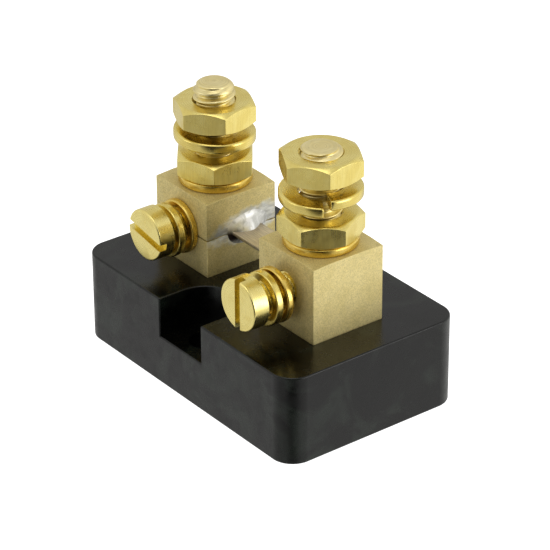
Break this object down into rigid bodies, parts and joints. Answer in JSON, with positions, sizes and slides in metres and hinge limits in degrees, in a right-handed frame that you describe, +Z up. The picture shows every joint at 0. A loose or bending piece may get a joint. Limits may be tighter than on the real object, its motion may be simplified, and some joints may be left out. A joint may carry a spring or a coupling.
{
  "type": "battery monitor shunt",
  "caption": "Low-ohm current shunt: brass terminal blocks on a black moulded base, joined by a soldered resistance strip, with threaded studs and slotted sense screws.",
  "frame": {"origin": "middle of the base's underside", "axes": "+X along the base towards the near terminal, +Z up along the terminal studs, -Y out of the face that carries the sense screws"},
  "size_m": [0.0508, 0.0318, 0.0424],
  "materials": {
    "black_phenolic": "moulded black phenolic, satin sides and a glossier top",
    "block_brass": "tumbled brass bar, matte with a fine grain",
    "stud_brass": "rolled-thread brass, satin",
    "nut_brass": "bright turned brass",
    "washer_brass": "bright brass strip",
    "screw_brass": "bright turned brass",
    "resistance_alloy": "copper-manganese resistance alloy, dull rolled finish",
    "solder": "tin-lead solder, bright with a frozen flow",
    "block_screw_steel": "zinc-plated steel"
  },
  "bodies": {
    "root": {"base": "black_phenolic", "resistance_strip": "resistance_alloy", "near_terminal_block": "block_brass", "near_terminal_stud": "stud_brass", "near_strip_solder": "solder", "near_block_screw": "block_screw_steel", "near_block_screw_washer": "block_screw_steel", "near_terminal_flat_washer": "washer_brass", "near_terminal_lower_nut": "nut_brass", "far_terminal_block": "block_brass", "far_terminal_stud": "stud_brass", "far_strip_solder": "solder", "far_block_screw": "block_screw_steel", "far_block_screw_washer": "block_screw_steel", "far_terminal_flat_washer": "washer_brass", "far_terminal_lower_nut": "nut_brass"},
    "near_terminal_lock_washer": {"near_terminal_lock_washer": "washer_brass"},
    "near_terminal_top_nut": {"near_terminal_top_nut": "nut_brass"},
    "near_sense_washers": {"near_sense_flat_washer": "washer_brass", "near_sense_lock_washer": "washer_brass"},
    "near_sense_screw": {"near_sense_screw": "screw_brass"},
    "far_terminal_lock_washer": {"far_terminal_lock_washer": "washer_brass"},
    "far_terminal_top_nut": {"far_terminal_top_nut": "nut_brass"},
    "far_sense_washers": {"far_sense_flat_washer": "washer_brass", "far_sense_lock_washer": "washer_brass"},
    "far_sense_screw": {"far_sense_screw": "screw_brass"}
  },
  "joints": [
    {"name": "near_lock_washer_slide", "type": "slide", "parent": "root", "child": "near_terminal_lock_washer", "axis": [0, 0, 1], "range_m": [-0.00175, 0.00381]},
    {"name": "near_top_nut_turn", "type": "hinge", "parent": "near_terminal_lock_washer", "child": "near_terminal_top_nut", "pos_m": [0.0127, 0, 0.03139], "axis": [0, 0, 1], "range_deg": [-495.1, 1080.1]},
    {"name": "near_sense_washers_slide", "type": "slide", "parent": "root", "child": "near_sense_washers", "axis": [0, -1, 0], "range_m": [-0.00159, 0.0006]},
    {"name": "near_sense_screw_turn", "type": "hinge", "parent": "near_sense_washers", "child": "near_sense_screw", "pos_m": [0.0127, -0.00635, 0.02099], "axis": [0, -1, 0], "range_deg": [-720.1, 270.1]},
    {"name": "far_lock_washer_slide", "type": "slide", "parent": "root", "child": "far_terminal_lock_washer", "axis": [0, 0, 1], "range_m": [-0.00114, 0.00508]},
    {"name": "far_top_nut_turn", "type": "hinge", "parent": "far_terminal_lock_washer", "child": "far_terminal_top_nut", "pos_m": [-0.0127, 0, 0.03139], "axis": [0, 0, 1], "range_deg": [-324.1, 1440.1]},
    {"name": "far_sense_washers_slide", "type": "slide", "parent": "root", "child": "far_sense_washers", "axis": [0, -1, 0], "range_m": [0, 0.00238]},
    {"name": "far_sense_screw_turn", "type": "hinge", "parent": "far_sense_washers", "child": "far_sense_screw", "pos_m": [-0.0127, -0.00635, 0.02099], "axis": [0, -1, 0], "range_deg": [-0.1, 1080.1]}
  ],
  "couplings": [
    {"joint": "near_top_nut_turn", "follows": "near_lock_washer_slide", "rad_per_m": 4947.4},
    {"joint": "near_sense_screw_turn", "follows": "near_sense_washers_slide", "rad_per_m": 7915.8},
    {"joint": "far_top_nut_turn", "follows": "far_lock_washer_slide", "rad_per_m": 4947.4},
    {"joint": "far_sense_screw_turn", "follows": "far_sense_washers_slide", "rad_per_m": 7915.8}
  ]
}
